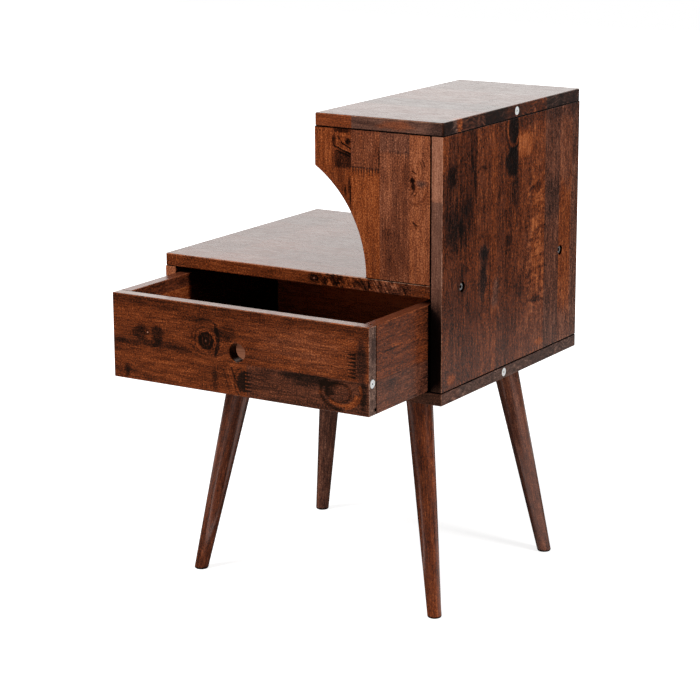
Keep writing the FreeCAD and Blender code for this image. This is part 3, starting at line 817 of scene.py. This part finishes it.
# The top: u from its left end, v back from the front.
wood = Board("top_panel", "xyz", (
    (0, 0.46, 0.75, 0.15), (52, 0.48, 0.85, 0.35), (115, 0.36, 0.65, 0.55), (178, 0.46, 0.80, 0.75),
    (235, 0.48, 0.85, 0.95), (295, 0.42, 0.50, 0.25), (350, 0.44, 0.55, 0.45), (402, 0, 0, 0),
), 27.0)
wood.face(wood.front_face(), 0.62, 0.15, 0.3)
wood.shift(wood.front_face() * rise(wood.u, 60, 58), 0.06, 0.75)
wood.blot(128, 9, 27, 7, 0.1, 0.5, rim=True)
wood.blot(84, 9, 26, 3, -0.14, 0.0, rim=True)
wood.blot(196, 12, 22, 22, -0.2, -0.3)
wood.blot(196, 31, 12, 7, 0.22, -0.7)
wood.blot(198, 44, 8, 10, 0.3, 0.6)
wood.pieces(300, 0.06, 0.1)
end_face = wood.far_end()
for start, stop, tone, warmth in (
    (-1, 26, -0.08, 0.0), (116, 173, -0.2, -0.1), (173, 222, -0.03, 0.15), (222, 296, 0.06, 0.25),
    (296, 404, -0.1, -0.2),
):
    wood.shift(end_face * band(wood.v, start, stop, 1), tone, warmth)
wood.seam(wood.w, 0.8, -1, 0.8)
wood.finish(end_grit=3.4, worn_tone=0.1)

# The shelf: u from its left end, v back from the front.
wood = Board("shelf_panel", "xyz", (
    (0, 0.54, 1.02, 0.17), (48, 0.46, 0.85, 0.37), (106, 0.50, 0.95, 0.57), (160, 0.44, 0.75, 0.77),
    (222, 0.50, 0.90, 0.97), (280, 0.46, 0.80, 0.27), (338, 0.48, 0.95, 0.47), (402, 0, 0, 0),
), 35.0)
# a joint in the front strip, and a paler piece after it
wood.shift(rise(wood.u, 75.5, 76.5) * rise(wood.u, 170, 120), 0.07, 0.0)
wood.line(rise(absolute(wood.u - 76.0), 0.9, 0.3) * rise(wood.v, 48, 47) * 0.3)
# a knot in the front edge, and curly figure with dark spots to the right of it
wood.knot(253, 9, 6.5, 5, -0.5, 0.6, -0.2, rim=True, heart=0.4)
wood.curl(262, 400, 0, 0, 7, 3.0, 0.2, 14, 0.6, True)
wood.blot(272, 9, 4, 7, -0.4, 0.0, rim=True)
wood.blot(286, 9, 8, 8, -0.4, 0.0, rim=True)
wood.blot(333, 9, 14, 8, -0.34, 0.0, rim=True)
wood.blot(395, 9, 10, 8, -0.24, 0.0, rim=True)
wood.blot(375, 9, 60, 12, -0.04, -0.4, 0.8, rim=True)
wood.pieces(340, 0.06, 0.1)
# the front edge's upper arris catches the light: a painted highlight
lit_edge = rise(wood.w, wood.thick - 1.2, wood.thick - 0.7) * rise(wood.v, 1.4, 0.9)
wood.shift(lit_edge * (rise(wood.u, 236, 240) * 0.2 + 0.3), 1.0, -1.5)
wood.seam(wood.u, wood.long - 0.9, 1)
wood.finish(worn_tone=0.0, speckle=2.2)

# The bottom: u from its left end, v back from the front.
wood = Board("bottom_panel", "xyz", (
    (0, 0.54, 0.80, 0.19), (48, 0.52, 0.60, 0.39), (92, 0.54, 0.65, 0.59), (147, 0.50, 0.50, 0.79),
    (205, 0.50, 0.55, 0.99), (262, 0.48, 0.50, 0.29), (330, 0.50, 0.55, 0.49), (402, 0, 0, 0),
), 43.0)
wood.pieces(320, 0.1, 0.15)
wood.face(wood.front_face(), 0.52, 0.35)
wood.seam(wood.w, wood.thick - 0.9, 1)
wood.shift(wood.far_end(), 0.04, -0.3)
wood.finish(end_tone=-0.06)

# The drawer's right side: u back from the drawer front, v up from its lower edge.
wood = Board("drawer_side_right", "yzx", (
    (0, 0.50, 0.55, 0.33), (44.5, 0.54, 0.90, 0.73), (119.5, 0, 0, 0),
), 51.0)
# painted shade, darker towards and inside the bay
wood.patch(126, 400, -5, 130, -0.14, 0.0, 30, 1)
wood.shift(rise(wood.v, 50, 40), 0.05, 0.0)
wood.blot(34, 80, 32, 1.5, -0.4)
wood.blot(52, 83, 14, 2, 0.14, 0.2)
wood.blot(44, 36, 20, 4, -0.14, -0.2)
wood.pieces(420, 0.06)
wood.seam(wood.u, 0.9, -1)
wood.finish()

RANDOM_BOARDS = (
    # node, layout, width across, seed, tone, warmth
    ("side_panel_left", "zyx", 402, 61.0, 0.50, 0.85),
    ("upright_rear", "zxy", 182, 67.0, 0.56, 0.9),
    ("drawer_side_left", "yzx", 119.5, 71.0, 0.68, 0.92),
    ("drawer_back", "xzy", 110.5, 79.0, 0.88, 0.98),
)
for node, layout, width, seed, tone, warmth in RANDOM_BOARDS:
    wood = Board(node, layout, random_strips(seed, width, tone, warmth), seed)
    wood.pieces(330, 0.14, 0.2)
    if node == "drawer_side_left":
        # painted shadow of the shelf on the part inside the bay
        wood.shade = 1.0 - in_bay(wood.tree) * 0.5
    if node == "side_panel_left":
        wood.face(wood.front_face(), 0.82, 0.8)
    wood.finish()


# ---------------------------------------------------------------- legs
LEVEL_WITHIN = 0.0005


def ring_centre(node, at):
    """The middle of a leg's outline at its foot or its top."""
    points = [vertex.co for vertex in NODES[node].data.vertices if abs(vertex.co.z - at) < LEVEL_WITHIN]
    low, high = [Vector([pick(point[i] for point in points) for i in range(3)]) for pick in (min, max)]
    return (low + high) / 2


LEG_SHEEN = (0.9, 0.66, 0.6, 1.0)
LEG_SEED = 83.0
LEG_SEED_STEP = 5.3
LEG_STAIN = {
    # node: (tone, warmth)
    "leg_front_left": (0.54, 0.8), "leg_front_right": (0.60, 0.95),
    "leg_rear_left": (0.59, 0.38), "leg_rear_right": (0.58, 0.6),
}
for index, (node, stain_looks) in enumerate(LEG_STAIN.items()):
    low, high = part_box(node)
    foot = ring_centre(node, low.z)
    axis = (ring_centre(node, high.z) - foot).normalized()
    side = axis.cross(Vector((0.0, 1.0, 0.0))).normalized()
    front = side.cross(axis)
    material, tree = new_material("stained_" + node)
    point = vector_maths(tree, "SUBTRACT", place(tree), tuple(foot * PER_METRE))
    u, v, w = [
        vector_maths(tree, "DOT_PRODUCT", point, tuple(direction), output=1)
        for direction in (axis, side, front)
    ]
    seed = LEG_SEED + index * LEG_SEED_STEP
    wood = Wood(tree, u, v, w, ((-40, *stain_looks, 0.3), (40, 0, 0, 0)), seed)
    wood.close(
        tuple(axis), ring=0.3, fibre=1.0, mottle=0.55, speckle=1.1,
        sheen=0.2, gloss=0.9, tint=LEG_SHEEN,
    )
    dress(node, material)


# ---------------------------------------------------------------- plywood
def plywood(node, layout, seed, base_tone):
    """Stained plywood: a rotary-cut face, and thin plies at the edges."""
    low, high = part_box(node)
    material, tree = new_material("stained_" + node)
    parts = split(place(tree))
    u, v, w = [parts[AXES[letter]] - low[AXES[letter]] * PER_METRE for letter in layout]
    thick = (high - low)[AXES[layout[2]]] * PER_METRE
    sway = noise(tree, joined(tree, u * 0.008, v * 0.02, 0.0), 3.0, 0.5, seed)
    flame = line_noise(tree, v * 0.06 + sway * 7.0, 4.0, 0.7)
    fibre = noise(tree, joined(tree, u * 0.03, v * 0.9, w * 0.4), 3.0, 0.6, seed + 2.0)
    pores = rise(noise(tree, joined(tree, u * 0.14, v * 2.0, 0.0), 1.0, 0.5, seed + 4.0), 0.62, 0.72)
    edge = rise(facing(tree, unit(layout[2])), 0.7, 0.4)
    ply = rise(maths(tree, "PINGPONG", w, thick / 5), thick / 14, thick / 9)
    tone = (flame - 0.5) * 0.6 + (fibre - 0.5) * 0.6 - pores * 0.08 + base_tone
    tone = tone + edge * (ply - 0.5) * 0.3
    tone = clamped(tone)
    stain = mixed(tree, 0.6, ramp(tree, tone, GREY_STAIN), ramp(tree, tone, WARM_STAIN))
    rough = (fibre - 0.5) * 0.15 + 0.45 + pores * 0.1
    finish_material(tree, stain, clamped(rough), fibre - pores, PLYWOOD_RELIEF, Specular_IOR_Level=0.3)
    dress(node, material)


plywood("drawer_tray", "xyz", 101.0, 0.94)
plywood("rear_panel", "xzy", 107.0, 0.6)


# ---------------------------------------------------------------- fittings
def dowel_wood():
    """Turned beech: pale, straight-grained, with short dark flecks."""
    material, tree = new_material("beech_dowel")
    point = split(place(tree))
    figure = grain_noise(tree, point, 0.3, 0.9, 4.0, 0.6, 5.0)
    fleck = rise(grain_noise(tree, point, 0.8, 2.6, 1.0, 0.5, 9.0), 0.62, 0.7)
    base = ramp(tree, figure, (
        (0.25, colour(168, 124, 84)), (0.5, colour(205, 165, 120)), (0.75, colour(226, 192, 150)),
    ))
    base = mixed(tree, fleck * 0.6, base, colour(128, 84, 54))
    finish_material(tree, base, figure * 0.3 + 0.45, figure - fleck, DOWEL_RELIEF)
    return material


def zinc_steel():
    """Zinc-plated steel, brushed by wear, with painted shade in its recesses."""
    material, tree = new_material("zinc_plated_steel")
    x, y, z = split(place(tree))
    cloud = grain_noise(tree, (x, y, z), 0.5, 0.5, 4.0, 0.6, 3.0)
    scratch = noise(tree, joined(tree, x * 0.4, y * 5.0, z * 1.2), 3.0, 0.7, 8.0)
    base = ramp(tree, cloud, (
        (0.3, colour(150, 149, 149)), (0.52, colour(188, 188, 189)), (0.72, colour(210, 209, 206)),
    ))
    # painted shade in the recesses
    base = mixed(tree, crevice_shade(tree), colour(28, 26, 26), base)
    rough = cloud * 0.3 + scratch * 0.16 + 0.3
    finish_material(tree, base, clamped(rough), scratch, STEEL_RELIEF, Metallic=0.7)
    return material


def white_plastic():
    """Moulded white plastic with a fine grain and painted shade in its hollows."""
    material, tree = new_material("white_moulded_plastic")
    point = split(place(tree))
    cloud = grain_noise(tree, point, 0.3, 0.3, 3.0, 0.6, 4.0)
    grain = grain_noise(tree, point, 3.0, 3.0, 2.0, 0.5, 6.0)
    base = ramp(tree, cloud, (
        (0.3, colour(232, 229, 225)), (0.55, colour(243, 241, 238)), (0.8, colour(249, 248, 246)),
    ))
    # painted shade in the hollows
    base = mixed(tree, crevice_shade(tree), colour(96, 84, 76), base)
    roughness = clamped(cloud * 0.2 + 0.24)
    finish_material(tree, base, roughness, grain, PLASTIC_RELIEF, Subsurface_Weight=0.1)
    return material


FITTINGS = {"dowel_wood": dowel_wood(), "zinc_steel": zinc_steel(), "white_plastic": white_plastic()}
for node in NODES.values():
    for holder in node.material_slots:
        if holder.material.name in FITTINGS:
            holder.material = FITTINGS[holder.material.name]


# ---------------------------------------------------------------- studio
def direction_to(azimuth, elevation):
    """A unit vector from the object. Azimuth 0 is straight ahead of its front, 90 to its right."""
    a, e = math.radians(azimuth), math.radians(elevation)
    return Vector((math.sin(a) * math.cos(e), -math.cos(a) * math.cos(e), math.sin(e)))


CENTRE = (CAD_BOX[0] + CAD_BOX[1]) / 2
FLOOR_HALF_SIZE = 7.0
FLOOR_DROP = 0.0001  # keeps the floor clear of the feet

# The paper's glow: under the object and how much more far off to the camera, and to every ray
FLOOR_TO_CAMERA = (0.70, 0.9)
FLOOR_TO_ALL = 0.1

# Metres from the middle, where a glow begins and where it is full
FLOOR_FADE = (0.3, 2.4)
NEAR_SWEEP = (1.25, 1.0)
FAR_SWEEP = (1.95, 1.3)

SIDE_SWEEP = ((62.0, 84.0), (150.0, 125.0))  # bearings in degrees right of the front
STRIPE_BEARING = 24.0  # degrees left of the front
STRIPE_HALF_WIDTH = (6.0, 3.0)


def floor_material():
    """White paper. To the camera it glows towards white, it bounces a greyer light, and glossy
    rays see a small lit sweep with a bright stripe, which the legs and boards reflect."""
    material, tree = new_material("studio_paper")
    point = Val(tree, add(tree, "TexCoord").outputs["Object"])
    point = vector_maths(tree, "MULTIPLY", point, (1.0, 1.0, 0.0))
    away = vector_maths(tree, "LENGTH", point, output=1)
    path = add(tree, "LightPath")
    seen = Val(tree, path.outputs["Is Camera Ray"])
    paper = add(tree, "BsdfDiffuse", {"Color": (0.6, 0.597, 0.594, 1.0)})
    grey = add(tree, "BsdfDiffuse", {"Color": (0.4, 0.39, 0.38, 1.0)})
    under, beyond = FLOOR_TO_CAMERA
    glow = (rise(away, *FLOOR_FADE) * beyond + under) * seen + FLOOR_TO_ALL
    white = add(tree, "Emission", {"Color": WHITE, "Strength": glow})
    lit = shader_sum(tree, shader_mix(tree, seen, grey, paper), white)

    east, north, _ = split(point)
    bearing = maths(tree, "ARCTAN2", east, north * -1.0) * (180.0 / math.pi)
    beside = rise(bearing, *SIDE_SWEEP[0]) * rise(bearing, *SIDE_SWEEP[1]) * 0.9
    stripe = rise(absolute(bearing + STRIPE_BEARING), *STRIPE_HALF_WIDTH) * 2.4
    near_glow = largest(beside, stripe) + 0.05
    far_glow = rise(away, *FAR_SWEEP) * 0.9 + 0.06
    near = rise(away, *NEAR_SWEEP)
    glow = near_glow * near + far_glow * (1.0 - near)
    mirrored = add(tree, "Emission", {"Color": (1.0, 0.98, 0.97, 1.0), "Strength": glow})
    choice = shader_mix(tree, Val(tree, path.outputs["Is Glossy Ray"]), lit, mirrored)
    output = add(tree, "OutputMaterial")
    tree.links.new(choice.outputs[0], output.inputs[0])
    return material


def studio_floor():
    mesh = bpy.data.meshes.new("studio_floor")
    half = FLOOR_HALF_SIZE
    corners = [(-half, -half, 0), (half, -half, 0), (half, half, 0), (-half, half, 0)]
    mesh.from_pydata(corners, [], [(0, 1, 2, 3)])
    mesh.materials.append(floor_material())
    floor = bpy.data.objects.new("studio_floor", mesh)
    bpy.context.scene.collection.objects.link(floor)
    floor.location.z = CAD_BOX[0].z - FLOOR_DROP


def softbox(name, azimuth, elevation, distance, width, height, power):
    """A rectangular light that faces the object."""
    light = bpy.data.lights.new(name, "AREA")
    light.shape = "RECTANGLE"
    light.size = width
    light.size_y = height
    light.energy = power
    lamp = bpy.data.objects.new(name, light)
    towards = direction_to(azimuth, elevation)
    lamp.location = CENTRE + towards * distance
    lamp.rotation_mode = "QUATERNION"
    lamp.rotation_quaternion = towards.to_track_quat("Z", "Y")
    bpy.context.scene.collection.objects.link(lamp)


CAMERA_AZIMUTH = 31.82
CAMERA_ELEVATION = 14.03
CAMERA_ROLL = -0.20
CAMERA_DISTANCE = 3.406
AIM_OFFSET = Vector((-0.0375, 0.0766, -0.0333))
LENS_LENGTH = 118.7
SENSOR_WIDTH = 36.0
LENS_SHIFT = (-0.0040, 0.0011)
BACKDROP_AZIMUTH = 31.8 + 180.0  # behind the object, as the camera sees it
BACKDROP_GLOW = 1.9
MIRRORED_GLOW = 0.08
AMBIENT_GLOW = 0.24


def studio_world():
    """White to the camera, dim to the object, with a bright backdrop for its reflections."""
    world = bpy.data.worlds.new("studio")
    bpy.context.scene.world = world
    tree = empty_tree(world)
    ray = Val(tree, add(tree, "TexCoord").outputs["Generated"])
    back = tuple(direction_to(BACKDROP_AZIMUTH, 0.0))
    behind = vector_maths(tree, "DOT_PRODUCT", ray, back, output=1)
    up = split(ray)[2]
    backdrop = rise(behind, 0.45, 0.9) * rise(up, 0.75, 0.5)
    path = add(tree, "LightPath")
    glossy = Val(tree, path.outputs["Is Glossy Ray"])
    camera_ray = Val(tree, path.outputs["Is Camera Ray"])
    strength = (backdrop * BACKDROP_GLOW + MIRRORED_GLOW) * glossy + (1.0 - glossy) * AMBIENT_GLOW
    strength = camera_ray * 1.0 + (1.0 - camera_ray) * strength
    tint = mixed(tree, glossy, WHITE, (1.0, 0.985, 0.972, 1.0))
    sky = add(tree, "Background", {"Color": tint, "Strength": strength})
    output = add(tree, "OutputWorld")
    tree.links.new(sky.outputs[0], output.inputs[0])


def studio_camera():
    lens = bpy.data.cameras.new("camera")
    lens.lens = LENS_LENGTH
    lens.sensor_width = SENSOR_WIDTH
    lens.shift_x, lens.shift_y = LENS_SHIFT
    camera = bpy.data.objects.new("camera", lens)
    bpy.context.scene.collection.objects.link(camera)
    toward_camera = direction_to(CAMERA_AZIMUTH, CAMERA_ELEVATION)
    level = Vector((0.0, 0.0, 1.0)).cross(toward_camera).normalized()
    upward = toward_camera.cross(level)
    roll = math.radians(CAMERA_ROLL)
    right = level * math.cos(roll) + upward * math.sin(roll)
    over = upward * math.cos(roll) - level * math.sin(roll)
    turn = Matrix((right, over, toward_camera)).transposed()
    position = CENTRE + AIM_OFFSET + toward_camera * CAMERA_DISTANCE
    camera.matrix_world = Matrix.Translation(position) @ turn.to_4x4()
    bpy.context.scene.camera = camera


studio_floor()
softbox("key_softbox", -28.0, 42.0, 2.4, 1.0, 1.0, 46.0)
softbox("fill_softbox", 85.0, 26.0, 2.6, 0.5, 1.5, 33.0)
studio_world()
studio_camera()
bpy.context.scene.view_settings.view_transform = "Standard"
bpy.context.scene.view_settings.look = "None"
